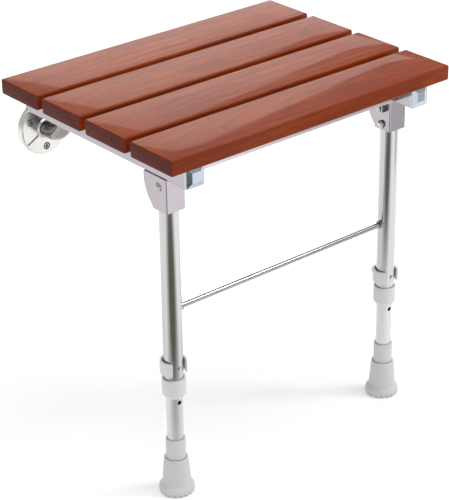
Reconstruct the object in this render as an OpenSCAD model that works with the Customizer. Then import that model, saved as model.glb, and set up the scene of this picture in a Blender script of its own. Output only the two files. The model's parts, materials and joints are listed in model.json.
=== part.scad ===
// Wall-mounted folding shower seat: slatted seat, two wall arms, two telescopic front legs.
// Origin: on the floor, on the centre plane, midway between the front slat edge and the wall.
// +X along the slats, +Y towards the wall, +Z up. Left is -X, as seen from in front of the seat.

/* [Seat] */
// Length of each slat
slat_l = 450; // [380:5:560]
// Width of each slat
slat_w = 78; // [64:1:96]
// Thickness of each slat
slat_t = 20; // [16:1:26]
// Gap between neighbouring slats
slat_gap = 10.5; // [6:0.5:14]
// Radius of the slats' long edges
slat_edge_r = 3; // [1:0.5:5]
// Height of the seat top above the floor
seat_h = 492; // [440:1:600]
// Distance from the rear slat edge to the wall
wall_gap = 28; // [26:1:50]

/* [Frame] */
// Outer width of the square rails
rail_s = 28; // [26:1:34]
// Wall of the square rails
rail_wall = 2; // [1.5:0.5:3]
// How far the rails are set in from the slat ends
rail_inset = 27.5; // [22:0.5:60]
// How far the rail caps stay behind the front slat edge
rail_front_gap = 7; // [4:0.5:14]
// How far the rails end before the rear slat edge
rail_back_gap = 11.5; // [9:0.5:16]
// Depth of the cross rails
cross_d = 20; // [14:1:24]
// Wall of the cross rails
cross_wall = 1.5; // [1:0.5:2]

/* [Wall arm] */
// Outer diameter of the wall flange
flange_d = 75; // [70:1:90]
// Thickness of the wall flange
flange_t = 10; // [8:0.5:12]
// Diameter of the circle of wall screw holes
flange_pcd = 52; // [48:1:58]
// Diameter of the wall screw holes
wall_hole_d = 5.5; // [4.5:0.1:6.5]
// Outer diameter of the wall arm tube
arm_d = 22; // [18:1:22]
// Wall of the wall arm tube
arm_wall = 2; // [1.5:0.5:3]
// Bend radius of the wall arm, on its centre line
arm_bend_r = 34; // [30:1:36]
// Straight length of the wall arm before its bend
arm_stub = 14; // [12:1:18]
// Diameter of the hinge bolt
hinge_d = 10; // [8:0.5:12]

/* [Legs] */
// Outer diameter of the upper leg tube
leg_d = 25; // [23:0.5:30]
// Wall of the leg tubes
leg_wall = 1.5; // [1:0.25:2]
// Sheet thickness of the leg brackets
sheet_t = 1.5; // [1.2:0.1:2]
// Length of the leg bracket along the rail
bracket_l = 42.6; // [36:0.2:50]
// Diameter of the leg pivot bolt
pivot_d = 8; // [6:0.5:8]
// Diameter of the rod between the legs
crossbar_d = 7; // [6:0.5:10]
// Drop from the seat top to the rod between the legs
crossbar_drop = 229.6; // [200:0.2:240]
// Drop from the seat top to the cross pin that sets the leg length
clip_drop = 308; // [300:1:312]
// Distance between the adjusting holes
hole_pitch = 25; // [22:0.5:25]
// Diameter of the adjusting holes
adjust_hole_d = 6; // [5.5:0.1:7]
// Diameter of the cross pin
clip_pin_d = 5; // [4:0.1:5]
// Diameter of the snap button
button_d = 10; // [8:0.5:10]
// Largest diameter of the foot
foot_d = 46; // [40:1:56]

/* [Hidden] */

$fn = 48;
eps = 0.1;              // overshoot of cutting tools
seat_clear = 0.02;      // radial gap of pressed or welded round joints
run_clear = 0.05;       // radial gap of running fits
side_clear = 0.4;       // axial gap beside a turning part
screw_clear = 0.25;     // radial gap round a screw in its hole

// seat
slat_n = 4;
slat_pitch = slat_w + slat_gap;
seat_d = slat_n * slat_w + (slat_n - 1) * slat_gap;
seat_front = -seat_d / 2;
seat_back = seat_d / 2;
wall_y = seat_back + wall_gap;

// rails
rail_x = slat_l / 2 - rail_inset - rail_s / 2;
rail_inner_x = rail_x - rail_s / 2;
rail_mid_z = -slat_t - rail_s / 2;
rail_under_z = -slat_t - rail_s;
rail_r = 2.5;
cap_rise = 3.5;         // height of the raised square on a front cap
cap_collar = 4;         // thickness of a front cap's square collar
cap_plug = 8;           // how far a front cap goes into its rail
rail_front = seat_front + rail_front_gap + cap_rise + cap_collar;
plug_t = 2;             // thickness of the rear plug's visible plate
rail_back = seat_back - rail_back_gap - plug_t;
cross_h = rail_s;       // cross rails are as high as the side rails
front_cross_gap = 41.75; // from the front slat edge to the front cross rail
front_cross_y = seat_front + front_cross_gap + cross_d / 2;

// slat screws
screw_d = 4;
screw_grip = 14;        // length of a screw inside its slat
screw_head_d = 8;
screw_head_h = 2.5;
screw_shift = -8;       // from the slat's middle, towards the front
driver_hole_d = 10;     // hole in the rail's underside for the driver

// wall arm and hinge
arm_r = arm_d / 2;
flange_face = wall_y - flange_t;
hub_h = 3;              // raised ring where the arm leaves the flange
hinge_y = flange_face - arm_stub - arm_bend_r;
hinge_z = rail_mid_z;
arm_rise = 25;          // straight tube between the bend and the hinge axis
barrel_r = arm_r + 1;   // cross tube that holds the hinge bushes
arm_z = hinge_z - arm_rise - arm_bend_r;
arm_off = arm_r + 8;    // from the rail to the arm's centre line
arm_x = rail_inner_x - arm_off;
rear_cross_gap = 10.75; // from the arm to the rear cross rail
rear_cross_y = hinge_y - arm_r - rear_cross_gap - cross_d / 2;
bush_flange_t = 2;
bush_flange_r = hinge_d / 2 + 4;
bush_r = hinge_d / 2 + 2;
bush_l = 12;
barrel_half = rail_inner_x - side_clear - bush_flange_t - arm_x;
washer_t = 1.5;
hinge_head_t = 5;
hinge_head_af = hinge_d + 6;
hinge_thread_d = 8;
hinge_nut_t = 6.5;
hinge_inner_x = arm_x - barrel_half - bush_flange_t - side_clear;

// legs
leg_r = leg_d / 2;
tube_gap = 0.5;         // radial gap between the leg tubes
lower_r = leg_r - leg_wall - tube_gap;
leg_y = seat_front + 61.75;
leg_x = rail_x;
leg_top_gap = 0.8;      // from the folded leg to the rail's underside
pivot_z = rail_under_z - leg_r - leg_top_gap;
leg_side_gap = 0.5;     // from the upper tube to each side plate
leg_front_gap = 0.6;    // from the upper tube to the bracket's front wall
bracket_in = leg_d + 2 * leg_side_gap;
bracket_w = bracket_in + 2 * sheet_t;
bracket_front = leg_y - leg_r - leg_front_gap - sheet_t;
bracket_back = bracket_front + bracket_l;
bracket_rim = 2.2;      // sheet left below the button's hole
upper_end = clip_drop + 38;
pivot_head_d = 12;
pivot_head_h = 3;
pivot_nut_t = 6.5;
pivot_nut_af = 13;
pivot_tail = 1.5;       // bolt end beyond the nut
sleeve_wall = 1.5;      // wall of the pivot sleeve
ring_t = 2.5;
ring_wall = 2;
collar_r = leg_r + 2.85;
collar_top = clip_drop + 16;
collar_low = collar_top + 27;

// lower legs
hole_n = 7;
holes_below = 2;        // adjusting holes below the pin at rest
lower_top = clip_drop - (hole_n - 1 - holes_below) * hole_pitch - 12;
foot_h = 50.5;
foot_top = seat_h - foot_h;
foot_floor = 16;        // solid rubber under the tube
sleeve_h = 28.4;
sleeve_r = lower_r + 2.3;
foot_neck_r = lower_r + 5.3;
foot_waist_r = foot_d / 2 - 3.5;
foot_rim_h = 14.5;
glide_cap = 6;
glide_plug = 7;

// clips
clip_in_r = leg_r + 1.5;
clip_out_r = clip_in_r + 3;
clip_h = 18;
clip_open = 42;         // half angle of the clip's mouth
clip_boss_r = 6;
clip_boss_l = 4;
pin_tip = 2;            // how far the pin stands out at the front

// snap buttons
button_drop = 22.7;     // below the leg pivot
button_out = 5;         // height above the bracket plate
button_hole_gap = 0.8;  // radial gap in the bracket plate
bracket_low = pivot_z - button_drop - button_d / 2 - button_hole_gap - bracket_rim;
bracket_h = rail_under_z - bracket_low;
button_flange_t = 1.5;
strip_t = 0.8;
strip_w = 8;

module place() {
    translate([0, -wall_gap / 2, seat_h]) children();
}

// s = 1 right side, s = -1 left side
module side(s) {
    if (s > 0) children();
    else mirror([1, 0, 0]) children();
}

module both() {
    side(1) children();
    side(-1) children();
}

module rounded(w, h, r) {
    square([w - 2 * r, h], center = true);
    square([w, h - 2 * r], center = true);
    for (i = [-1, 1])
        for (j = [-1, 1])
            translate([i * (w / 2 - r), j * (h / 2 - r)]) circle(r);
}

module along_x(len) {
    translate([-len / 2, 0, 0]) rotate([90, 0, 90]) linear_extrude(len) children();
}

module along_y(y0, y1) {
    translate([0, y1, 0]) rotate([90, 0, 0]) linear_extrude(y1 - y0) children();
}

module x_rod(x0, x1, r) {
    translate([x0, 0, 0]) rotate([0, 90, 0]) cylinder(h = x1 - x0, r = r);
}

module y_rod(y0, y1, r) {
    translate([0, y0, 0]) rotate([-90, 0, 0]) cylinder(h = y1 - y0, r = r);
}

function slat_y(i) = seat_front + slat_w / 2 + i * slat_pitch;

// ---------- seat ----------

module slat(i) {
    color([0.55, 0.27, 0.15]) place() difference() {
        translate([0, slat_y(i), -slat_t / 2]) along_x(slat_l) rounded(slat_w, slat_t, slat_edge_r);
        for (s = [-1, 1])
            translate([s * rail_x, slat_y(i) + screw_shift, -slat_t - eps])
                cylinder(h = screw_grip + 1 + eps, r = screw_d / 2 + run_clear);
    }
}

module slat_1() { slat(0); }
module slat_2() { slat(1); }
module slat_3() { slat(2); }
module slat_4() { slat(3); }

module rail() {
    color([0.83, 0.8, 0.84]) place() difference() {
        translate([rail_x, 0, rail_mid_z]) along_y(rail_front, rail_back) rounded(rail_s, rail_s, rail_r);
        translate([rail_x, 0, rail_mid_z]) along_y(rail_front - eps, rail_back + eps)
            rounded(rail_s - 2 * rail_wall, rail_s - 2 * rail_wall, rail_r - 1.5);
        for (i = [0 : slat_n - 1])
            translate([rail_x, slat_y(i) + screw_shift, 0]) {
                translate([0, 0, -slat_t - rail_wall - eps])
                    cylinder(h = rail_wall + 2 * eps, r = screw_d / 2 + screw_clear);
                translate([0, 0, rail_under_z - eps])
                    cylinder(h = rail_wall + 2 * eps, r = driver_hole_d / 2);
            }
        translate([rail_inner_x - eps, hinge_y, hinge_z])
            x_rod(0, rail_wall + 2 * eps, hinge_thread_d / 2 + 0.2);
    }
}

module rail_left() { side(-1) rail(); }
module rail_right() { side(1) rail(); }

module front_cap() {
    color([0.76, 0.8, 0.86]) place() translate([rail_x, rail_front, rail_mid_z]) {
        along_y(0, cap_plug) rounded(rail_s - 2 * rail_wall - 0.2, rail_s - 2 * rail_wall - 0.2, 1);
        along_y(-cap_collar, 0) rounded(rail_s, rail_s, rail_r);
        translate([0, -cap_collar, 0]) rotate([90, 0, 0])
            linear_extrude(cap_rise, scale = 0.5) square(rail_s - 2, center = true);
    }
}

module front_cap_left() { side(-1) front_cap(); }
module front_cap_right() { side(1) front_cap(); }

module rear_plug() {
    color([0.3, 0.3, 0.31]) place() translate([rail_x, rail_back, rail_mid_z]) {
        along_y(0, plug_t) rounded(rail_s, rail_s, rail_r);
        along_y(-cap_plug, 0) rounded(rail_s - 2 * rail_wall - 0.2, rail_s - 2 * rail_wall - 0.2, 1);
    }
}

module rear_plug_left() { side(-1) rear_plug(); }
module rear_plug_right() { side(1) rear_plug(); }

module cross_rail(y) {
    color([0.8, 0.8, 0.8]) place() translate([0, y, -slat_t - cross_h / 2]) difference() {
        along_x(2 * rail_inner_x) rounded(cross_d, cross_h, 1.5);
        along_x(2 * rail_inner_x + 2 * eps)
            rounded(cross_d - 2 * cross_wall, cross_h - 2 * cross_wall, 0.5);
    }
}

module front_cross_rail() { cross_rail(front_cross_y); }
module rear_cross_rail() { cross_rail(rear_cross_y); }

module slat_screws() {
    color("silver") place() both() for (i = [0 : slat_n - 1])
        translate([rail_x, slat_y(i) + screw_shift, -slat_t - rail_wall]) {
            cylinder(h = rail_wall + screw_grip, r = screw_d / 2);
            translate([0, 0, -screw_head_h]) cylinder(h = screw_head_h, r = screw_head_d / 2);
        }
}

// ---------- wall arms ----------

module disc_profile() {
    rim_r = 3;
    square([flange_d / 2 - rim_r, flange_t]);
    square([flange_d / 2, flange_t - rim_r]);
    translate([flange_d / 2 - rim_r, flange_t - rim_r]) circle(rim_r);
}

// the disc's axis is +Z here, its back face at 0
module flange_disc() {
    sink_d = 10;
    sink_t = 3;
    difference() {
        union() {
            rotate_extrude($fn = 96) disc_profile();
            translate([0, 0, flange_t - eps]) cylinder(h = hub_h + eps, r1 = arm_r + 2.6, r2 = arm_r + 0.8);
        }
        // the arm's end stands in the raised ring, on the disc's face
        translate([0, 0, flange_t]) cylinder(h = hub_h + eps, r = arm_r + seat_clear);
        // holes at 30, 150 and 270 degrees, radial grooves between them
        for (a = [30, 150, 270]) rotate(a) translate([flange_pcd / 2, 0, 0]) {
            translate([0, 0, -eps]) cylinder(h = flange_t + 2 * eps, r = wall_hole_d / 2);
            translate([0, 0, flange_t - sink_t])
                cylinder(h = sink_t - 1, r1 = wall_hole_d / 2, r2 = sink_d / 2);
            translate([0, 0, flange_t - 1]) cylinder(h = 1 + eps, r = sink_d / 2);
        }
        for (a = [90, 210, 330]) rotate(a) translate([arm_r + 3.5, -2, flange_t - 1.2])
            cube([flange_d / 2 - arm_r - 7, 4, 1.2 + eps]);
    }
}

module wall_flange() {
    color([0.86, 0.85, 0.82]) place() translate([arm_x, wall_y, arm_z]) rotate([90, 0, 0]) flange_disc();
}

module wall_flange_left() { side(-1) wall_flange(); }
module wall_flange_right() { side(1) wall_flange(); }

module arm_path(r) {
    // stub, bend and upright of one round section, about the bend's centre line
    y_rod(flange_face - arm_stub, flange_face, r);
    translate([0, flange_face - arm_stub, arm_bend_r]) rotate([180, 90, 0])
        rotate_extrude(angle = 90) translate([arm_bend_r, 0]) circle(r);
    translate([0, hinge_y, arm_bend_r]) cylinder(h = arm_rise, r = r);
}

module wall_arm() {
    color([0.55, 0.54, 0.52]) place() difference() {
        union() {
            translate([arm_x, 0, arm_z]) arm_path(arm_r);
            translate([arm_x, hinge_y, hinge_z]) x_rod(-barrel_half, barrel_half, barrel_r);
        }
        difference() {
            translate([arm_x, 0, arm_z]) arm_path(arm_r - arm_wall);
            // the hinge barrel's own wall stays whole
            translate([arm_x, hinge_y, hinge_z]) x_rod(-barrel_half, barrel_half, barrel_r);
        }
        translate([arm_x, hinge_y, hinge_z]) x_rod(-barrel_half - eps, barrel_half + eps, bush_r + seat_clear);
    }
}

module wall_arm_left() { side(-1) wall_arm(); }
module wall_arm_right() { side(1) wall_arm(); }

module hinge_bush() {
    difference() {
        union() {
            x_rod(-bush_flange_t, 0, bush_flange_r);
            x_rod(0, bush_l, bush_r);
        }
        x_rod(-bush_flange_t - eps, bush_l + eps, hinge_d / 2 + run_clear);
    }
}

module hinge_bushes() {
    color([0.9, 0.9, 0.88]) place() both() translate([arm_x, hinge_y, hinge_z]) {
        translate([-barrel_half, 0, 0]) hinge_bush();
        translate([barrel_half, 0, 0]) mirror([1, 0, 0]) hinge_bush();
    }
}

module hinge_bolts() {
    color("silver") place() both() translate([0, hinge_y, hinge_z]) {
        translate([hinge_inner_x - washer_t - hinge_head_t, 0, 0]) rotate([0, 90, 0])
            cylinder(h = hinge_head_t, r = hinge_head_af / sqrt(3), $fn = 6);
        x_rod(hinge_inner_x - washer_t, rail_inner_x, hinge_d / 2);
        x_rod(rail_inner_x, rail_inner_x + rail_wall + hinge_nut_t + 2, hinge_thread_d / 2);
    }
}

module hinge_washers() {
    color("silver") place() both() translate([hinge_inner_x - washer_t, hinge_y, hinge_z]) difference() {
        x_rod(0, washer_t, bush_flange_r);
        x_rod(-eps, washer_t + eps, hinge_d / 2 + 0.15);
    }
}

module hex_nut(af, t, bore) {
    rotate([0, 90, 0]) difference() {
        cylinder(h = t, r = af / sqrt(3), $fn = 6);
        translate([0, 0, -eps]) cylinder(h = t + 2 * eps, r = bore);
    }
}

module hinge_nuts() {
    color("silver") place() both() translate([rail_inner_x + rail_wall, hinge_y, hinge_z])
        hex_nut(13, hinge_nut_t, hinge_thread_d / 2 + run_clear);
}

// ---------- leg brackets ----------

// side outline of the bracket: y to the right, z up, rounded at the lower back
module bracket_side() {
    corner = bracket_h * 0.78;
    difference() {
        translate([bracket_front, bracket_low]) square([bracket_l, bracket_h]);
        translate([bracket_back, bracket_low]) difference() {
            translate([-corner * 0.45, -eps]) square([corner, bracket_h * 0.9]);
            translate([-corner * 0.45 - corner, corner * 1.15]) circle(r = corner * 1.45, $fn = 96);
        }
    }
}

module bracket_plan() {
    bend_r = 2;
    len = bracket_l + bend_r;
    difference() {
        translate([leg_x, bracket_front + len / 2]) rounded(bracket_w, len, bend_r);
        translate([leg_x - bracket_in / 2, bracket_front + sheet_t]) square([bracket_in, len]);
    }
}

module leg_bracket() {
    color([0.82, 0.8, 0.83]) place() difference() {
        intersection() {
            translate([0, 0, bracket_low]) linear_extrude(bracket_h) bracket_plan();
            translate([leg_x, 0, 0]) along_x(bracket_w + 2) bracket_side();
        }
        translate([leg_x, leg_y, pivot_z]) x_rod(-bracket_w, bracket_w, pivot_d / 2 + 0.15);
        translate([leg_x - bracket_w / 2 - eps, leg_y, pivot_z - button_drop])
            x_rod(0, sheet_t + 2 * eps, button_d / 2 + button_hole_gap);
    }
}

module leg_bracket_left() { side(-1) leg_bracket(); }
module leg_bracket_right() { side(1) leg_bracket(); }

module pivot_bolts() {
    dome_r = (pow(pivot_head_d / 2, 2) + pow(pivot_head_h, 2)) / (2 * pivot_head_h);
    outer = leg_x + bracket_w / 2;
    inner = leg_x - bracket_w / 2 - pivot_nut_t - pivot_tail;
    color("silver") place() both() translate([0, leg_y, pivot_z]) {
        x_rod(inner, outer, pivot_d / 2);
        intersection() {
            x_rod(outer, outer + pivot_head_h + 1, pivot_head_d / 2);
            translate([outer + pivot_head_h - dome_r, 0, 0]) sphere(r = dome_r, $fn = 64);
        }
    }
}

module pivot_nuts() {
    color("silver") place() both() translate([leg_x - bracket_w / 2 - pivot_nut_t, leg_y, pivot_z])
        hex_nut(pivot_nut_af, pivot_nut_t, pivot_d / 2 + run_clear);
}

// ---------- upper legs ----------

module at_leg(z) {
    translate([leg_x, leg_y, z]) children();
}

module upper_leg() {
    below = -upper_end - pivot_z;
    color([0.8, 0.8, 0.8]) place() difference() {
        at_leg(0) union() {
            translate([0, 0, -upper_end]) cylinder(h = upper_end + pivot_z, r = leg_r);
            intersection() {
                translate([0, 0, pivot_z - eps]) cylinder(h = leg_r + 1, r = leg_r);
                translate([0, 0, pivot_z]) x_rod(-leg_r - 1, leg_r + 1, leg_r);
            }
        }
        at_leg(-upper_end - eps) cylinder(h = upper_end + pivot_z + leg_r + 2, r = leg_r - leg_wall);
        at_leg(pivot_z) x_rod(-leg_r - 1, leg_r + 1, pivot_d / 2 + sleeve_wall + seat_clear);
        at_leg(pivot_z - button_drop) x_rod(-leg_r - 1, 0, button_d / 2 + 0.08);
        at_leg(-clip_drop) y_rod(-leg_r - 1, leg_r + 1, clip_pin_d / 2 + 0.3);
    }
}

module upper_leg_left() { side(-1) upper_leg(); }
module upper_leg_right() { side(1) upper_leg(); }

module pivot_sleeves() {
    r = pivot_d / 2 + sleeve_wall;
    color([0.7, 0.7, 0.7]) place() both() at_leg(pivot_z) difference() {
        intersection() {
            x_rod(-leg_r, leg_r, r);
            translate([0, 0, -r - 1]) cylinder(h = 2 * r + 2, r = leg_r);
        }
        x_rod(-leg_r - 1, leg_r + 1, pivot_d / 2 + run_clear);
    }
}

module leg_crossbar() {
    color([0.75, 0.75, 0.75]) place() difference() {
        translate([0, leg_y, -crossbar_drop]) x_rod(-leg_x, leg_x, crossbar_d / 2);
        both() at_leg(-crossbar_drop - 10) cylinder(h = 20, r = leg_r);
    }
}

module crossbar_rings() {
    reach = leg_x - leg_r - ring_t;
    color([0.72, 0.72, 0.72]) place() both() difference() {
        translate([0, leg_y, -crossbar_drop]) x_rod(reach, leg_x, crossbar_d / 2 + ring_wall);
        translate([0, leg_y, -crossbar_drop]) x_rod(reach - eps, leg_x + 1, crossbar_d / 2 + seat_clear);
        at_leg(-crossbar_drop - 10) cylinder(h = 20, r = leg_r);
    }
}

module leg_collar() {
    lip = 1.5;
    h = collar_low - collar_top;
    color([0.88, 0.87, 0.86]) place() at_leg(-collar_low) difference() {
        union() {
            cylinder(h = lip, r1 = collar_r - lip, r2 = collar_r);
            translate([0, 0, lip]) cylinder(h = h - lip, r = collar_r);
        }
        translate([0, 0, -eps]) cylinder(h = h + 2 * eps, r = lower_r + run_clear);
        translate([0, 0, collar_low - upper_end]) cylinder(h = h, r = leg_r + seat_clear);
    }
}

module leg_collar_left() { side(-1) leg_collar(); }
module leg_collar_right() { side(1) leg_collar(); }

// ---------- lower legs ----------

module lower_leg() {
    low = foot_top + foot_h - foot_floor;
    color([0.86, 0.86, 0.86]) place() difference() {
        at_leg(-low) cylinder(h = low - lower_top, r = lower_r);
        at_leg(-low - eps) cylinder(h = low - lower_top + 2 * eps, r = lower_r - leg_wall);
        for (i = [-holes_below : hole_n - 1 - holes_below])
            at_leg(-clip_drop + i * hole_pitch) y_rod(-leg_r, leg_r, adjust_hole_d / 2);
    }
}

module lower_leg_left() { side(-1) lower_leg(); }
module lower_leg_right() { side(1) lower_leg(); }

module leg_glide() {
    color([0.85, 0.85, 0.83]) place() at_leg(-lower_top) {
        cylinder(h = glide_cap, r = leg_r - leg_wall - run_clear);
        translate([0, 0, -glide_plug]) cylinder(h = glide_plug + eps, r = lower_r - leg_wall - seat_clear);
    }
}

module leg_glide_left() { side(-1) leg_glide(); }
module leg_glide_right() { side(1) leg_glide(); }

module foot_sleeve() {
    color([0.85, 0.85, 0.84]) place() at_leg(-foot_top) difference() {
        cylinder(h = sleeve_h, r = sleeve_r);
        translate([0, 0, -eps]) cylinder(h = sleeve_h + 2 * eps, r = lower_r + seat_clear);
    }
}

module foot_sleeve_left() { side(-1) foot_sleeve(); }
module foot_sleeve_right() { side(1) foot_sleeve(); }

module foot() {
    color([0.84, 0.83, 0.81]) place() at_leg(-seat_h) difference() {
        union() {
            cylinder(h = foot_rim_h - 3, r = foot_d / 2);
            translate([0, 0, foot_rim_h - 3]) cylinder(h = 3, r1 = foot_d / 2, r2 = foot_waist_r);
            translate([0, 0, foot_rim_h]) cylinder(h = foot_h - foot_rim_h, r1 = foot_waist_r, r2 = foot_neck_r);
        }
        translate([0, 0, foot_floor]) cylinder(h = foot_h, r = lower_r + seat_clear);
    }
}

module foot_left() { side(-1) foot(); }
module foot_right() { side(1) foot(); }

// ---------- spring clips ----------

module spring_clip() {
    back = sqrt(clip_out_r * clip_out_r - clip_boss_r * clip_boss_r) - 1;
    color([0.9, 0.89, 0.88]) place() at_leg(-clip_drop) difference() {
        union() {
            translate([0, 0, -clip_h / 2]) rotate([0, 0, -90 + clip_open])
                rotate_extrude(angle = 360 - 2 * clip_open, $fn = 72)
                    translate([clip_in_r, 0]) square([clip_out_r - clip_in_r, clip_h]);
            y_rod(back, clip_out_r + clip_boss_l, clip_boss_r);
        }
        y_rod(0, clip_out_r + clip_boss_l - 1.5, clip_pin_d / 2 + seat_clear);
    }
}

module spring_clip_left() { side(-1) spring_clip(); }
module spring_clip_right() { side(1) spring_clip(); }

module clip_pin() {
    color("silver") place() at_leg(-clip_drop) {
        y_rod(-leg_r - pin_tip + 1, clip_out_r + clip_boss_l - 1.5, clip_pin_d / 2);
        translate([0, -leg_r - pin_tip, 0]) rotate([-90, 0, 0])
            cylinder(h = 1, r1 = clip_pin_d / 2 - 1, r2 = clip_pin_d / 2);
    }
}

module clip_pin_left() { side(-1) clip_pin(); }
module clip_pin_right() { side(1) clip_pin(); }

// ---------- snap buttons ----------

button_face = -bracket_w / 2 - button_out;
button_inside = -sqrt(pow(leg_r - leg_wall, 2) - pow(button_d / 2 + 1.5, 2)) + 0.2;

module snap_button() {
    r = button_d / 2;
    dome_h = 2.5;
    dome_r = (r * r + dome_h * dome_h) / (2 * dome_h);
    color([0.75, 0.75, 0.75]) place() at_leg(pivot_z - button_drop) {
        x_rod(button_face + dome_h, button_inside, r);
        intersection() {
            x_rod(button_face - 1, button_face + dome_h, r);
            translate([button_face + dome_r, 0, 0]) sphere(r = dome_r, $fn = 64);
        }
        x_rod(button_inside, button_inside + button_flange_t, r + 1.5);
    }
}

module snap_button_left() { side(-1) snap_button(); }
module snap_button_right() { side(1) snap_button(); }

function unit(v) = v / norm(v);
function across(v) = [-v[1], v[0]];
// the points of a line moved sideways by d
function beside(line, d) = [
    for (i = [0 : len(line) - 1])
        let (a = line[max(i - 1, 0)], b = line[min(i + 1, len(line) - 1)])
            line[i] + d * across(unit(b - a))
];

// flat strip of even thickness along a line in the x-z plane
module strip(line, t, w) {
    one = beside(line, t / 2);
    two = beside(line, -t / 2);
    rotate([90, 0, 0]) linear_extrude(w, center = true)
        polygon(concat(one, [for (i = [len(two) - 1 : -1 : 0]) two[i]]));
}

module button_spring() {
    // V shape: one arm behind the button, the other on the far wall of the tube
    x0 = button_inside + button_flange_t + strip_t;
    x1 = sqrt(pow(leg_r - leg_wall, 2) - pow(strip_w / 2, 2)) - strip_t - 0.1;
    drop = 34;
    turn_x = 2;
    turn_r = 2;
    turn = [for (a = [180 : 20 : 360]) [turn_x + turn_r * cos(a), -drop + turn_r * sin(a)]];
    color("silver") place() at_leg(pivot_z - button_drop)
        strip(concat([[x0, 4]], turn, [[x1, 0]]), strip_t, strip_w);
}

module button_spring_left() { side(-1) button_spring(); }
module button_spring_right() { side(1) button_spring(); }

slat_1();
slat_2();
slat_3();
slat_4();
rail_left();
rail_right();
front_cap_left();
front_cap_right();
rear_plug_left();
rear_plug_right();
front_cross_rail();
rear_cross_rail();
slat_screws();
wall_flange_left();
wall_flange_right();
wall_arm_left();
wall_arm_right();
hinge_bushes();
hinge_bolts();
hinge_washers();
hinge_nuts();
leg_bracket_left();
leg_bracket_right();
pivot_bolts();
pivot_nuts();
upper_leg_left();
upper_leg_right();
pivot_sleeves();
leg_crossbar();
crossbar_rings();
leg_collar_left();
leg_collar_right();
lower_leg_left();
lower_leg_right();
leg_glide_left();
leg_glide_right();
foot_sleeve_left();
foot_sleeve_right();
foot_left();
foot_right();
spring_clip_left();
spring_clip_right();
clip_pin_left();
clip_pin_right();
snap_button_left();
snap_button_right();
button_spring_left();
button_spring_right();
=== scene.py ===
"""Looks of the wall-mounted folding shower seat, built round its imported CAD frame."""
import json
import math

import bmesh
import bpy
from mathutils import Matrix, Quaternion, Vector


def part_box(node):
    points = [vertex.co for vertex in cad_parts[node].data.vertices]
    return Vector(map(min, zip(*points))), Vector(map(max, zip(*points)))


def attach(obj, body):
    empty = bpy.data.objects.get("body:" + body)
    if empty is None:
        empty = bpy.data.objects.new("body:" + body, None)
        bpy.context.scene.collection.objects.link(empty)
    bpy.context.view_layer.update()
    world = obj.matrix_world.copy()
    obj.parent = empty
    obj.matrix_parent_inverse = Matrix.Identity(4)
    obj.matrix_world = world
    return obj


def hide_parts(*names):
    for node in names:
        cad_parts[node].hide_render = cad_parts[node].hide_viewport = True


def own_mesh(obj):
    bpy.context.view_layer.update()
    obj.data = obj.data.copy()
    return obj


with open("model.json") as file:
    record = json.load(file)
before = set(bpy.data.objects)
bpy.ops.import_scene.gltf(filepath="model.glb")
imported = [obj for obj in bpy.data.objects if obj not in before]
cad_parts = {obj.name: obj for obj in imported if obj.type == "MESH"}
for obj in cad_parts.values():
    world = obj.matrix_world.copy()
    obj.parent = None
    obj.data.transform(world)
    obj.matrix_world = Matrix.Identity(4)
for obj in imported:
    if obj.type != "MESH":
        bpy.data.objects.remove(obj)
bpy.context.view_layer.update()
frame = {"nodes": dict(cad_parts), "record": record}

SIDES = ("left", "right")
MM = 0.001
scene = bpy.context.scene


# ---------- node helpers ----------

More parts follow.
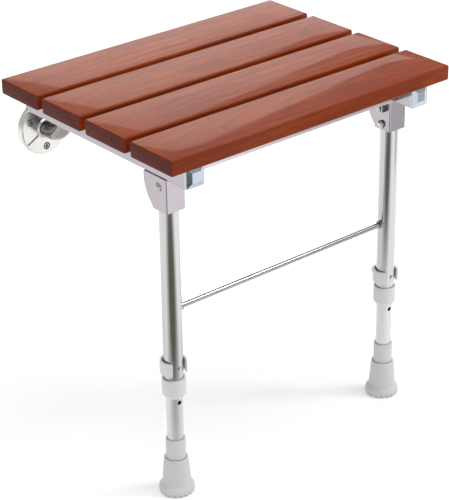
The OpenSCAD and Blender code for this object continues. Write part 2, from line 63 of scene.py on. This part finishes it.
class Shader:
    """A principled material and short ways to add nodes to it."""

    def __init__(self, name, **sockets):
        self.material = bpy.data.materials.new(name)
        self.material.use_nodes = True
        self.tree = self.material.node_tree
        self.tree.nodes.clear()
        self.out = self.tree.nodes.new("ShaderNodeOutputMaterial")
        self.bsdf = self.tree.nodes.new("ShaderNodeBsdfPrincipled")
        self.join(self.bsdf.outputs[0], self.out.inputs[0])
        for socket, value in sockets.items():
            self.bsdf.inputs[socket.replace("_", " ")].default_value = value
        self.coord = self.tree.nodes.new("ShaderNodeTexCoord")

    def join(self, a, b):
        self.tree.links.new(a, b)

    def put(self, node, index, value):
        if isinstance(value, bpy.types.NodeSocket):
            self.join(value, node.inputs[index])
        else:
            node.inputs[index].default_value = value

    def mapped(self, scale, turn=(0, 0, 0), shift=(0, 0, 0)):
        node = self.tree.nodes.new("ShaderNodeMapping")
        self.join(self.coord.outputs["Object"], node.inputs[0])
        node.inputs["Location"].default_value = shift
        node.inputs["Rotation"].default_value = turn
        node.inputs["Scale"].default_value = scale
        return node.outputs[0]

    def noise(self, vector, scale=1.0, detail=3.0, rough=0.5):
        node = self.tree.nodes.new("ShaderNodeTexNoise")
        self.join(vector, node.inputs["Vector"])
        node.inputs["Scale"].default_value = scale
        node.inputs["Detail"].default_value = detail
        node.inputs["Roughness"].default_value = rough
        return node.outputs["Fac"]

    def rings(self, vector, scale, distortion, detail):
        node = self.tree.nodes.new("ShaderNodeTexWave")
        node.wave_type, node.rings_direction = "RINGS", "X"
        self.join(vector, node.inputs["Vector"])
        node.inputs["Scale"].default_value = scale
        node.inputs["Distortion"].default_value = distortion
        node.inputs["Detail"].default_value = detail
        node.inputs["Detail Scale"].default_value = 0.6
        return node.outputs["Fac"]

    def remap(self, value, lo, hi, to_lo=0.0, to_hi=1.0):
        node = self.tree.nodes.new("ShaderNodeMapRange")
        for index, v in enumerate((value, lo, hi, to_lo, to_hi)):
            self.put(node, index, v)
        return node.outputs[0]

    def math(self, how, a, b=0.0):
        node = self.tree.nodes.new("ShaderNodeMath")
        node.operation = how
        self.put(node, 0, a)
        self.put(node, 1, b)
        return node.outputs[0]

    def blend(self, factor, a, b):
        node = self.tree.nodes.new("ShaderNodeMix")
        node.data_type = "RGBA"
        self.put(node, 0, factor)
        for index, v in ((6, a), (7, b)):
            self.put(node, index, v if isinstance(v, bpy.types.NodeSocket) else (*v, 1.0))
        return node.outputs[2]

    def bevel(self, radius):
        node = self.tree.nodes.new("ShaderNodeBevel")
        node.samples = 6
        node.inputs["Radius"].default_value = radius
        return node.outputs[0]

    def edge(self, radius):
        """1 along sharp edges and 0 on flat faces."""
        dot = self.tree.nodes.new("ShaderNodeVectorMath")
        dot.operation = "DOT_PRODUCT"
        self.join(self.bevel(radius), dot.inputs[0])
        self.join(self.tree.nodes.new("ShaderNodeNewGeometry").outputs["Normal"], dot.inputs[1])
        return self.remap(dot.outputs["Value"], 0.995, 0.90)

    def hollow(self, distance):
        """1 in the open and less in corners and crevices."""
        node = self.tree.nodes.new("ShaderNodeAmbientOcclusion")
        node.samples = 8
        node.inputs["Distance"].default_value = distance
        return node.outputs["AO"]

    def bump(self, height, strength, distance=0.001, normal=None):
        node = self.tree.nodes.new("ShaderNodeBump")
        node.inputs["Strength"].default_value = strength
        node.inputs["Distance"].default_value = distance
        self.join(height, node.inputs["Height"])
        if normal is not None:
            self.join(normal, node.inputs["Normal"])
        self.join(node.outputs[0], self.bsdf.inputs["Normal"])

    def colour(self, socket):
        self.join(socket, self.bsdf.inputs["Base Color"])

    def roughness(self, socket):
        self.join(socket, self.bsdf.inputs["Roughness"])


# ---------- materials ----------

ALONG = {"x": (5, 420, 420), "y": (420, 5, 420), "z": (420, 420, 5), "": (60, 60, 60)}


def metal(name, colour, rough, along="", wear=0.06, smudge=0.05, line=0.02, edge_radius=0.0005, crevice_shade=0.0):
    """Plated or drawn metal: faint smudges, drawing lines along one axis, bright worn edges, and painted
    shade that darkens its corners and crevices when crevice_shade is set.
    """
    s = Shader(name, Metallic=1.0)
    spots = s.noise(s.mapped((1, 1, 1)), 38.0, 5.0, 0.6)
    broad = s.noise(s.mapped((1, 1, 1), shift=(3.1, 1.7, 0.4)), 7.0, 2.0)
    lines = s.noise(s.mapped(ALONG[along]), 1.0, 4.0, 0.65)
    darker = tuple(c * (1 - 2.2 * wear) for c in colour)
    tone = s.blend(s.remap(broad, 0.3, 0.7), colour, darker)
    tone = s.blend(s.remap(lines, 0.35, 0.75, 0.0, 0.35), tone, darker)
    # painted shade: where ambient occlusion finds corners and crevices, the colour darkens up to 85% of the
    # way to a tenth of itself, standing in for the shade there
    if crevice_shade:
        tone = s.blend(s.remap(s.hollow(crevice_shade), 0.35, 0.95, 0.85, 0.0), tone, tuple(c * 0.10 for c in colour))
    rim = s.edge(edge_radius)
    s.colour(s.blend(s.math("MULTIPLY", rim, 0.55), tone, tuple(min(1.0, c * 1.14) for c in colour)))
    base = s.remap(spots, 0.35, 0.7, rough - smudge * 0.5, rough + smudge)
    fine = s.remap(lines, 0.3, 0.7, -line, line)
    s.roughness(s.math("ADD", s.math("ADD", base, fine), s.math("MULTIPLY", rim, 0.08)))
    s.bump(s.math("ADD", s.math("MULTIPLY", lines, 0.6), s.math("MULTIPLY", spots, 0.4)),
           0.05, 0.0002, s.bevel(edge_radius))
    return s.material


def moulded(name, colour, rough, grain=900.0, relief=0.12, coat=0.0, dust=(0.62, 0.6, 0.55)):
    """Moulded plastic or rubber: fine grained surface, mottled tone, dust in the low places."""
    s = Shader(name, Coat_Weight=coat, Coat_Roughness=0.25)
    fine = s.noise(s.mapped((1, 1, 1)), grain, 3.0, 0.6)
    broad = s.noise(s.mapped((1, 1, 1), shift=(0.7, 2.1, 5.3)), 26.0, 4.0, 0.55)
    tone = s.blend(s.remap(broad, 0.35, 0.7), colour, tuple(c * 0.93 for c in colour))
    tone = s.blend(s.remap(fine, 0.55, 0.8, 0.0, 0.12), tone, dust)
    rim = s.edge(0.0007)
    s.colour(s.blend(s.math("MULTIPLY", rim, 0.35), tone, tuple(min(1.0, c * 1.07) for c in colour)))
    s.roughness(s.math("ADD", s.remap(broad, 0.3, 0.7, rough - 0.06, rough + 0.06),
                       s.remap(fine, 0.3, 0.7, -0.04, 0.04)))
    s.bump(fine, relief, 0.0003, s.bevel(0.0006))
    return s.material


WOOD_DARK = (0.095, 0.010, 0.002)
WOOD_MID = (0.188, 0.021, 0.002)
WOOD_PALE = (0.265, 0.043, 0.004)
WOOD_EDGE = (0.400, 0.080, 0.012)


def wood(name, pith, tilt, seed):
    """Varnished hardwood. The growth rings turn about a pith that runs nearly along X under the board."""
    s = Shader(name, Coat_Weight=0.20, Coat_Roughness=0.04, Coat_IOR=1.42, Specular_IOR_Level=0.05)
    rings = s.rings(s.mapped((1, 1, 1), turn=tilt, shift=pith), 46.0, 5.5, 2.5)
    streaks = s.noise(s.mapped((4, 130, 130), shift=(seed, 0, 0)), 1.0, 4.0, 0.6)
    pores = s.noise(s.mapped((34, 1500, 1500), shift=(seed, 3, 0)), 1.0, 2.0, 0.5)
    patches = s.noise(s.mapped((5, 16, 16), shift=(seed, 7, 0)), 1.0, 2.0)
    tone = s.blend(s.remap(patches, 0.3, 0.7), WOOD_MID, WOOD_PALE)
    tone = s.blend(s.remap(rings, 0.45, 1.0, 0.0, 0.26), tone, WOOD_DARK)
    tone = s.blend(s.remap(streaks, 0.42, 0.75, 0.0, 0.38), tone, WOOD_DARK)
    tone = s.blend(s.remap(pores, 0.6, 0.74, 0.0, 0.45), tone, WOOD_DARK)
    # end grain takes more stain and shows the rings as short dark specks
    split = s.tree.nodes.new("ShaderNodeSeparateXYZ")
    s.join(s.coord.outputs["Normal"], split.inputs[0])
    end = s.remap(s.math("ABSOLUTE", split.outputs[0]), 0.6, 0.85)
    specks = s.noise(s.mapped((1, 420, 420), shift=(0, seed, 0)), 1.0, 3.0, 0.7)
    end_tone = s.blend(s.remap(specks, 0.4, 0.7), (0.115, 0.018, 0.010), (0.070, 0.010, 0.006))
    tone = s.blend(end, tone, end_tone)
    worn = s.math("MULTIPLY", s.edge(0.0022), s.remap(streaks, 0.3, 0.6, 0.25, 0.6))
    s.colour(s.blend(worn, tone, WOOD_EDGE))
    s.roughness(s.math("ADD", s.remap(streaks, 0.3, 0.7, 0.34, 0.46), s.remap(pores, 0.5, 0.75, 0.0, 0.15)))
    height = s.math("SUBTRACT", s.math("MULTIPLY", streaks, 0.5), s.remap(pores, 0.58, 0.74))
    s.bump(height, 0.10, 0.0002)
    return s.material


MATERIALS = {
    "frame_chrome": metal("frame_chrome", (0.470, 0.434, 0.460), 0.15, "y", wear=0.02),
    "frame_chrome_x": metal("frame_chrome_x", (0.560, 0.530, 0.545), 0.18, "x", wear=0.02),
    "cap_metal": metal("cap_metal", (0.470, 0.530, 0.585), 0.10, wear=0.03, smudge=0.02),
    # the flange, arm, fastener and pin finishes get painted shade in their corners and crevices, out to the
    # distance given last in each
    "flange_metal": metal("flange_metal", (0.790, 0.778, 0.740), 0.24, wear=0.03, smudge=0.09, crevice_shade=0.007),
    "arm_chrome": metal("arm_chrome", (0.340, 0.315, 0.315), 0.12, wear=0.05, crevice_shade=0.006),
    "fastener_steel": metal("fastener_steel", (0.540, 0.525, 0.510), 0.14, wear=0.08, smudge=0.08,
                            crevice_shade=0.002),
    "polished_tube": metal("polished_tube", (0.570, 0.560, 0.556), 0.10, "z", wear=0.015, smudge=0.03),
    "satin_tube": metal("satin_tube", (0.690, 0.680, 0.683), 0.38, "z", wear=0.02, line=0.05),
    "pin_chrome": metal("pin_chrome", (0.640, 0.630, 0.620), 0.12, wear=0.03, crevice_shade=0.002),
    "rod_chrome": metal("rod_chrome", (0.380, 0.368, 0.372), 0.08, "x", wear=0.03),
    "spring_steel": metal("spring_steel", (0.400, 0.400, 0.420), 0.30, "z", wear=0.08),
    "nylon": moulded("nylon", (0.78, 0.77, 0.73), 0.42, 700.0, 0.10),
    "collar_plastic": moulded("collar_plastic", (0.680, 0.685, 0.660), 0.40, 800.0, 0.10, coat=0.15),
    "clip_plastic": moulded("clip_plastic", (0.700, 0.690, 0.695), 0.36, 800.0, 0.08, coat=0.20),
    "plug_plastic": moulded("plug_plastic", (0.100, 0.100, 0.105), 0.48, 900.0, 0.15, dust=(0.2, 0.2, 0.2)),
    "foot_rubber": moulded("foot_rubber", (0.630, 0.637, 0.610), 0.58, 1100.0, 0.22),
}

# carried-over CAD nodes and the material of each
FINISH = {
    "frame_chrome": ("rail_left", "rail_right", "leg_bracket_left", "leg_bracket_right"),
    "frame_chrome_x": ("front_cross_rail", "rear_cross_rail"),
    "cap_metal": ("front_cap_left", "front_cap_right"),
    "plug_plastic": ("rear_plug_left", "rear_plug_right"),
    "flange_metal": ("wall_flange_left", "wall_flange_right"),
    "arm_chrome": ("wall_arm_left", "wall_arm_right"),
    "nylon": ("hinge_bushes", "pivot_sleeves", "leg_glide_left", "leg_glide_right"),
    "fastener_steel": ("slat_screws", "hinge_bolts", "hinge_washers", "hinge_nuts",
                       "pivot_bolts", "pivot_nuts"),
    "polished_tube": ("upper_leg_left", "upper_leg_right"),
    "satin_tube": ("lower_leg_left", "lower_leg_right"),
    "rod_chrome": ("leg_crossbar", "crossbar_rings"),
    "pin_chrome": ("clip_pin_left", "clip_pin_right"),
    "spring_steel": ("button_spring_left", "button_spring_right"),
}
for finish, names in FINISH.items():
    for name in names:
        mesh = frame["nodes"][name].data
        mesh.materials.clear()
        mesh.materials.append(MATERIALS[finish])


# ---------- mesh helpers ----------

def fillet(points, radii, steps=5):
    """A closed outline with each corner rounded to its radius; a radius of 0 leaves the corner sharp."""
    out = []
    for i, (point, radius) in enumerate(zip(points, radii)):
        p = Vector((*point, 0))
        to_a = Vector((*points[i - 1], 0)) - p
        to_b = Vector((*points[(i + 1) % len(points)], 0)) - p
        if radius <= 0:
            out.append((p.x, p.y))
            continue
        half = to_a.angle(to_b) / 2
        reach = min(radius / math.tan(half), 0.49 * to_a.length, 0.49 * to_b.length)
        a, b = p + to_a.normalized() * reach, p + to_b.normalized() * reach
        for k in range(steps + 1):
            t = k / steps
            q = a.lerp(p, t).lerp(p.lerp(b, t), t)
            out.append((q.x, q.y))
    return out


def revolve(bm, outline, origin, axis, segments=96, shape=None, closed=True):
    """Turns an outline of (radius, height) points about an axis. shape(i, angle) may scale a point's radius
    and shift its height."""
    axis = Vector(axis).normalized()
    u = axis.orthogonal().normalized() if abs(axis.z) < 0.9 else Vector((1, 0, 0))
    v = axis.cross(u)
    rows = []
    for i, (radius, height) in enumerate(outline):
        if radius < 1e-7:
            rows.append([bm.verts.new(Vector(origin) + axis * height)])
            continue
        row = []
        for k in range(segments):
            angle = 2 * math.pi * k / segments
            scale, lift = shape(i, angle) if shape else (1.0, 0.0)
            side = u * math.cos(angle) + v * math.sin(angle)
            row.append(bm.verts.new(Vector(origin) + axis * (height + lift) + side * radius * scale))
        rows.append(row)
    pairs = list(zip(rows, rows[1:] + rows[:1])) if closed else list(zip(rows, rows[1:]))
    for a, b in pairs:
        for k in range(segments):
            n = (k + 1) % segments
            quad = [a[k % len(a)], a[n % len(a)], b[n % len(b)], b[k % len(b)]]
            corners = list(dict.fromkeys(quad))
            if len(corners) > 2:
                bm.faces.new(corners)


def sweep(bm, sections):
    """A closed skin over a list of equally long point loops, with both ends filled."""
    rows = [[bm.verts.new(p) for p in loop] for loop in sections]
    for a, b in zip(rows, rows[1:]):
        for k in range(len(a)):
            n = (k + 1) % len(a)
            bm.faces.new((a[k], a[n], b[n], b[k]))
    bm.faces.new(rows[0][::-1])
    bm.faces.new(rows[-1])


def finish_piece(name, bm, material, body, slot, *replaced, sharp=40):
    bmesh.ops.recalc_face_normals(bm, faces=bm.faces)
    mesh = bpy.data.meshes.new(name)
    bm.to_mesh(mesh)
    bm.free()
    for polygon in mesh.polygons:
        polygon.use_smooth = True
    mesh.set_sharp_from_angle(angle=math.radians(sharp))
    mesh.materials.append(material)
    piece = bpy.data.objects.new(name, mesh)
    scene.collection.objects.link(piece)
    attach(piece, body)
    if replaced:
        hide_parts(*replaced)
    return piece


# ---------- slats ----------

def rounded_section(x, y0, y1, z0, z1, inset, radius):
    corners = ((y0 + inset, z0 + inset), (y1 - inset, z0 + inset),
               (y1 - inset, z1 - inset), (y0 + inset, z1 - inset))
    return [Vector((x, y, z)) for y, z in fillet(corners, [radius] * 4, 6)]


def slat(number, pith, tilt, seed):
    node = f"slat_{number}"
    lo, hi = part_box(node)
    bm = bmesh.new()
    end_radius, edge_radius, steps = 1.4 * MM, 2.8 * MM, 5
    loops = []
    for k in range(steps + 1):
        a = math.pi / 2 * k / steps
        inset = end_radius * (1 - math.sin(a))
        loops.append((lo.x + end_radius * (1 - math.cos(a)), inset))
    inner = [lo.x + (hi.x - lo.x) * t / 8 for t in range(1, 8)]
    loops += [(x, 0.0) for x in inner]
    loops += [(lo.x + hi.x - x, inset) for x, inset in loops[steps::-1]]
    sweep(bm, [rounded_section(x, lo.y, hi.y, lo.z, hi.z, inset, edge_radius) for x, inset in loops])
    material = wood(f"slat_wood_{number}", pith, tilt, seed)
    finish_piece(f"wood_slat_{number}", bm, material, "seat", "slat_wood", node, sharp=60)


# pith offset, lean of the pith and seed of each board
slat(1, (0.0, 0.150, -0.455), (0.0, 0.075, -0.035), 1.3)
slat(2, (0.0, 0.020, -0.430), (0.0, -0.030, 0.020), 4.1)
slat(3, (0.0, -0.020, -0.440), (0.0, 0.040, -0.030), 7.7)
slat(4, (0.0, -0.120, -0.450), (0.0, -0.055, 0.030), 9.2)


# ---------- collars, sleeves and feet ----------

SNUG = 0.12 * MM  # radial gap of plastic parts on the tubes


def centre_of(node):
    """Centre of a node's box in x and y, and its lowest and highest corners."""
    lo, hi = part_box(node)
    return (lo.x + hi.x) / 2, (lo.y + hi.y) / 2, lo, hi


def radius_of(node):
    _, _, lo, hi = centre_of(node)
    return (hi.y - lo.y) / 2


def turned(name, node, body, slot, outline, radii):
    """A round piece turned about the leg, in the place of a node."""
    x, y, lo, _ = centre_of(node)
    bm = bmesh.new()
    revolve(bm, fillet(outline, radii), (x, y, lo.z), (0, 0, 1), 128)
    finish_piece(name, bm, MATERIALS[slot], body, slot, node)


def collar(side):
    node = f"leg_collar_{side}"
    _, _, lo, hi = centre_of(node)
    out_r, height = (hi.x - lo.x) / 2, hi.z - lo.z
    tube_r = radius_of(f"upper_leg_{side}")
    low_r = radius_of(f"lower_leg_{side}")
    step = 5 * MM  # height at which the bore widens to the upper tube
    outline = [
        (low_r + 0.4 * MM, 0), (out_r - 3.2 * MM, 0), (out_r - 0.2 * MM, 4.2 * MM), (out_r, height * 0.5),
        (out_r - 0.1 * MM, height), (tube_r + SNUG, height), (tube_r + SNUG, step), (low_r + 0.4 * MM, step),
    ]
    radii = [0.5 * MM, 1.2 * MM, 2.2 * MM, 6 * MM, 1.1 * MM, 0.6 * MM, 0, 0]
    turned(f"collar_{side}", node, "legs", "collar_plastic", outline, radii)


def foot_sleeve(side):
    node = f"foot_sleeve_{side}"
    _, _, lo, hi = centre_of(node)
    out_r, height = (hi.x - lo.x) / 2, hi.z - lo.z
    low_r = radius_of(f"lower_leg_{side}") + SNUG
    outline = [(low_r, 0), (out_r, 0), (out_r - 0.15 * MM, height), (low_r, height)]
    radii = [0.2 * MM, 0.4 * MM, 1.3 * MM, 0.5 * MM]
    turned(f"sleeve_{side}", node, f"lower_leg_{side}", "foot_rubber", outline, radii)


LUGS = 20


def foot(side):
    node = f"foot_{side}"
    _, _, lo, hi = centre_of(node)
    rim, height = (hi.x - lo.x) / 2, hi.z - lo.z
    neck = rim - 7.4 * MM
    sleeve_lo, sleeve_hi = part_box(f"foot_sleeve_{side}")
    sleeve = (sleeve_hi.x - sleeve_lo.x) / 2 + 0.1 * MM
    waist = rim - 4.4 * MM
    tread, lug_top = 2.6 * MM, 5.8 * MM
    # from the middle of the underside, out round the lugs, up the cone and into the bore
    points = [
        (0, tread), (rim * 0.52, tread), (rim * 0.52, 0.8 * MM), (rim * 0.70, 0.8 * MM), (rim * 0.70, tread),
        (rim - 4.2 * MM, tread), (rim - 4.0 * MM, 0), (rim - 1.0 * MM, 0),
        (rim - 0.2 * MM, tread), (rim, 5.0 * MM), (rim - 0.9 * MM, 9.8 * MM), (waist + 0.3 * MM, 12.4 * MM),
        (waist - 0.2 * MM, 13.6 * MM), (neck + 1.2 * MM, height * 0.72), (neck, height - 2.2 * MM),
        (neck - 0.3 * MM, height), (sleeve, height), (sleeve, 20 * MM), (0, 20 * MM),
    ]
    radii = [0, 0.3, 0.5, 0.5, 0.3, 0.3, 0.4, 0.8, 1.2, 3.0, 2.0, 0.5, 0.8, 20, 1.6, 1.0, 0.5, 0, 0]
    outline = fillet(points, [r * MM for r in radii], 4)

    def lugs(i, angle):
        radius, z = outline[i]
        if radius > rim * 0.78 and z < lug_top:
            wave = 0.5 - 0.5 * math.cos(LUGS * angle)
            groove = wave ** 1.5
            fade = max(0.0, 1 - z / lug_top)
            return 1 - 0.05 * groove * fade, 3.0 * MM * groove * fade
        return 1.0, 0.0

    x, y, _, _ = centre_of(node)
    bm = bmesh.new()
    revolve(bm, outline, (x, y, lo.z), (0, 0, 1), LUGS * 8, lugs, closed=False)
    finish_piece(f"foot_tread_{side}", bm, MATERIALS["foot_rubber"], f"lower_leg_{side}", "foot_rubber", node)


# ---------- spring clips and snap buttons ----------

CLIP_OPEN = 42  # half angle of the clip's mouth, in degrees


def spring_clip(side):
    node = f"spring_clip_{side}"
    lo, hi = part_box(node)
    x, z = (lo.x + hi.x) / 2, (lo.z + hi.z) / 2
    out_r, half = (hi.x - lo.x) / 2, (hi.z - lo.z) / 2
    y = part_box(f"upper_leg_{side}")[0].y + radius_of(f"upper_leg_{side}")
    wall = 3.0 * MM
    bm = bmesh.new()
    sections = []
    steps = 84
    for k in range(steps + 1):
        t = k / steps
        angle = math.radians(-90 + CLIP_OPEN + (360 - 2 * CLIP_OPEN) * t)
        near_end = min(t, 1 - t) * steps
        inset = 0.9 * MM * max(0.0, 1 - near_end / 1.6) ** 2
        lip = 0.9 * MM * max(0.0, 1 - near_end / 5.0) ** 2
        r0, r1, h = out_r - wall + inset + lip * 0.6, out_r - inset + lip, half - inset
        corners = ((r0, -h), (r1, -h), (r1, h), (r0, h))
        outline = fillet(corners, [0.5 * MM, 1.0 * MM, 1.0 * MM, 0.5 * MM], 4)
        sections.append([Vector((x + r * math.cos(angle), y + r * math.sin(angle), z + rise))
                         for r, rise in outline])
    sweep(bm, sections)
    # boss that holds the cross pin at the back, with a shallow ring round it
    boss_r, depth = 6.0 * MM, hi.y - y - out_r + 2 * MM
    points = [(0, 0), (boss_r, 0), (boss_r - 0.3 * MM, depth), (boss_r - 2.0 * MM, depth),
              (boss_r - 2.6 * MM, depth - 0.7 * MM), (0, depth - 0.7 * MM)]
    boss = fillet(points, [0, 0, 0.8 * MM, 0.4 * MM, 0.3 * MM, 0], 4)
    revolve(bm, boss, (x, hi.y - depth, z), (0, 1, 0), 64, closed=False)
    finish_piece(f"clip_{side}", bm, MATERIALS["clip_plastic"], f"clip_{side}", "clip_plastic", node)


def snap_button(side):
    node = f"snap_button_{side}"
    lo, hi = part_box(node)
    y, z = (lo.y + hi.y) / 2, (lo.z + hi.z) / 2
    inward = 1 if side == "left" else -1
    start = lo.x if inward > 0 else hi.x
    length, flange_r = hi.x - lo.x, (hi.z - lo.z) / 2
    flange_t = 1.5 * MM
    r = flange_r - flange_t
    points = [(0, 0), (flange_r, 0), (flange_r, flange_t), (r, flange_t), (r, length - 2.4 * MM),
              (r * 0.62, length - 0.35 * MM), (0, length)]
    outline = fillet(points, [0, 0.3 * MM, 0.3 * MM, 0.2 * MM, 1.6 * MM, 2.4 * MM, 0], 6)
    bm = bmesh.new()
    revolve(bm, outline, (start, y, z), (inward, 0, 0), 72, closed=False)
    piece = finish_piece(f"button_{side}", bm, MATERIALS["pin_chrome"], f"button_{side}", "fastener_steel",
                         node, sharp=50)
    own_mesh(piece)


# ---------- weld beads ----------

BEAD_R = 1.2 * MM
RIPPLE = 1.7 * MM  # length of one ripple along the bead
RIPPLE_STEPS = 6
BEAD_ANGLES = [2 * math.pi * k / 14 for k in range(14)]


def weld_bead(name, x, z, y0, y1):
    """A rippled bead in the corner between a bracket's plate and its rail, tapered at both ends."""
    count = round((y1 - y0) / RIPPLE) * RIPPLE_STEPS
    sections = []
    for k in range(count + 1):
        t = k / count
        r = BEAD_R * (0.90 + 0.10 * math.cos(2 * math.pi * k / RIPPLE_STEPS))
        r *= min(1.0, 0.35 + min(t, 1 - t) * count / 8)
        y = y0 + (y1 - y0) * t
        sections.append([Vector((x + r * math.cos(a), y, z + r * math.sin(a))) for a in BEAD_ANGLES])
    bm = bmesh.new()
    sweep(bm, sections)
    finish_piece(name, bm, MATERIALS["frame_chrome"], "seat", "frame_chrome")


for side in SIDES:
    plate_lo, plate_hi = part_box(f"leg_bracket_{side}")
    rail_lo, rail_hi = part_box(f"rail_{side}")
    for number, x in enumerate((rail_lo.x, rail_hi.x), 1):
        weld_bead(f"weld_{side}_{number}", x, rail_lo.z, plate_lo.y + 2 * MM, plate_hi.y - 1 * MM)


# ---------- wall screws ----------

def wall_screw(name, origin):
    """A countersunk screw with a hexagon socket. It starts at origin, on the wall, and its head faces -Y."""
    face = 10 * MM  # the top of the head, level with the flange's front
    socket_r = 2.0 * MM
    outline = [
        (0, 0.2 * MM), (2.3 * MM, 0.2 * MM), (2.5 * MM, face - 3.4 * MM), (4.4 * MM, face - 1.5 * MM),
        (4.4 * MM, face - 1.1 * MM), (3.6 * MM, face - 0.3 * MM), (2.9 * MM, face),
        (socket_r + 0.25 * MM, face + 0.05 * MM), (socket_r, face - 0.15 * MM), (socket_r, face - 2.2 * MM),
        (0, face - 2.6 * MM),
    ]
    first_of_socket = 7

    def hexagon(i, angle):
        if i >= first_of_socket:
            return math.cos(math.pi / 6) / math.cos(angle % (math.pi / 3) - math.pi / 6), 0.0
        return 1.0, 0.0

    bm = bmesh.new()
    revolve(bm, outline, origin, (0, -1, 0), 60, hexagon, closed=False)
    finish_piece(name, bm, MATERIALS["fastener_steel"], "wall", "fastener_steel", sharp=50)


def wall_screws():
    for mount in frame["record"]["mounts"]:
        if mount["kind"] != "bolt_pattern":
            continue
        x, y, z = mount["pos_m"]
        radius = mount["dims"]["pcd_mm"] * MM / 2
        for k, degrees in enumerate((30, 150, 270)):
            a = math.radians(degrees)
            origin = (x + radius * math.cos(a), y, z + radius * math.sin(a))
            wall_screw(f"{mount['name']}_{k + 1}", origin)


for side in SIDES:
    collar(side)
    foot_sleeve(side)
    foot(side)
    spring_clip(side)
    snap_button(side)
wall_screws()


# ---------- floor, light and camera ----------

def stage_mesh(name, points, faces, material):
    mesh = bpy.data.meshes.new(name)
    mesh.from_pydata(points, [], faces)
    mesh.materials.append(material)
    o = bpy.data.objects.new(name, mesh)
    scene.collection.objects.link(o)
    return o


def plain(name, colour, rough=0.9, glow=0.0):
    s = Shader(name, Roughness=rough, Emission_Strength=glow)
    s.bsdf.inputs["Emission Color"].default_value = (1.0, 1.0, 1.0, 1.0)
    s.bsdf.inputs["Base Color"].default_value = (*colour, 1.0)
    return s.material


FLOOR = 14.0
FLOOR_TONE = (0.95, 0.95, 0.955)
CARD_HEIGHT = 0.0015
FLOOR_CORNERS = [(-FLOOR, -FLOOR, 0), (FLOOR, -FLOOR, 0), (FLOOR, FLOOR, 0), (-FLOOR, FLOOR, 0)]
stage_mesh("floor", FLOOR_CORNERS, [(0, 1, 2, 3)],
           plain("floor_paper", FLOOR_TONE, glow=0.13))


def reflector(name, centre, radii, core, colour):
    """A toned card on the floor that only reflections see, as a studio uses to give chrome its dark lines.
    Its colour holds out to the core, a share of its radius, and then fades into the floor's."""
    s = Shader(name, Roughness=1.0)
    flat = s.mapped((1 / radii[0], 1 / radii[1], 0), shift=(-centre[0] / radii[0], -centre[1] / radii[1], 0))
    length = s.tree.nodes.new("ShaderNodeVectorMath")
    length.operation = "LENGTH"
    s.join(flat, length.inputs[0])
    fade = s.remap(length.outputs["Value"], core, 1.0)
    s.colour(s.blend(fade, colour, FLOOR_TONE))
    points = []
    for k in range(64):
        a = 2 * math.pi * k / 64
        points.append((centre[0] + radii[0] * math.cos(a), centre[1] + radii[1] * math.sin(a), CARD_HEIGHT))
    card = stage_mesh(name, points, [tuple(range(64))], s.material)
    card.visible_camera = card.visible_diffuse = card.visible_shadow = card.visible_transmission = False


reflector("card_front", (-0.50, -0.64), (0.60, 0.60), 0.42, (0.13, 0.125, 0.10))
reflector("card_cap", (-0.46, -1.14), (0.26, 0.20), 0.92, (0.012, 0.014, 0.02))
reflector("card_right", (1.00, -0.86), (0.42, 0.36), 0.75, (0.56, 0.56, 0.56))


def area_light(name, position, target, size, power, colour=(1, 1, 1), roll=0.0):
    data = bpy.data.lights.new(name, "AREA")
    data.shape, data.size, data.size_y = "RECTANGLE", size[0], size[1]
    data.energy, data.color = power, colour
    o = bpy.data.objects.new(name, data)
    scene.collection.objects.link(o)
    o.location = position
    aim = (Vector(target) - Vector(position)).to_track_quat("-Z", "Y")
    o.rotation_euler = (aim @ Quaternion((0, 0, 1), math.radians(roll))).to_euler()
    o.visible_camera = False


CENTRE = (0.0, 0.0, 0.30)
area_light("key", (1.6, -1.6, 3.3), CENTRE, (2.2, 2.2), 42)
# small and bright, for the pale line along the front edges of the slats
area_light("edge", (1.9, -1.5, 2.8), CENTRE, (0.5, 0.5), 17)
area_light("top", (-0.2, 0.4, 3.4), CENTRE, (3.0, 3.0), 50)
# the varnish mirrors this one; its slanted edge ends the sheen at the right of the front slat
SHEEN_AZIMUTH, SHEEN_HEIGHT, SHEEN_AWAY = math.radians(55.2), math.radians(15.2), 3.0
SEAT_TOP = Vector((0, 0, 0.492))
sheen_way = Vector((math.cos(SHEEN_HEIGHT) * math.cos(SHEEN_AZIMUTH),
                    math.cos(SHEEN_HEIGHT) * math.sin(SHEEN_AZIMUTH), math.sin(SHEEN_HEIGHT)))
area_light("sheen", SEAT_TOP + sheen_way * SHEEN_AWAY, SEAT_TOP, (1.28, 1.28), 14.5,
           colour=(1.0, 0.93, 0.86), roll=45)

world = bpy.data.worlds.new("studio")
scene.world = world
world.use_nodes = True
world.node_tree.nodes["Background"].inputs[0].default_value = (0.90, 0.91, 0.93, 1.0)
world.node_tree.nodes["Background"].inputs[1].default_value = 0.62

scene.view_settings.view_transform = "Standard"

camera_data = bpy.data.cameras.new("camera")
camera_data.lens, camera_data.sensor_width = 130.06, 36.0
camera = bpy.data.objects.new("camera", camera_data)
scene.collection.objects.link(camera)
right = Vector((0.7646, -0.6444, -0.0134))
up = Vector((0.3003, 0.3378, 0.8920))
back = Vector((-0.5703, -0.6860, 0.4518))
turn = Matrix((right, up, back)).transposed().to_4x4()
camera.matrix_world = Matrix.Translation((-1.36825, -1.65153, 1.32103)) @ turn
scene.camera = camera
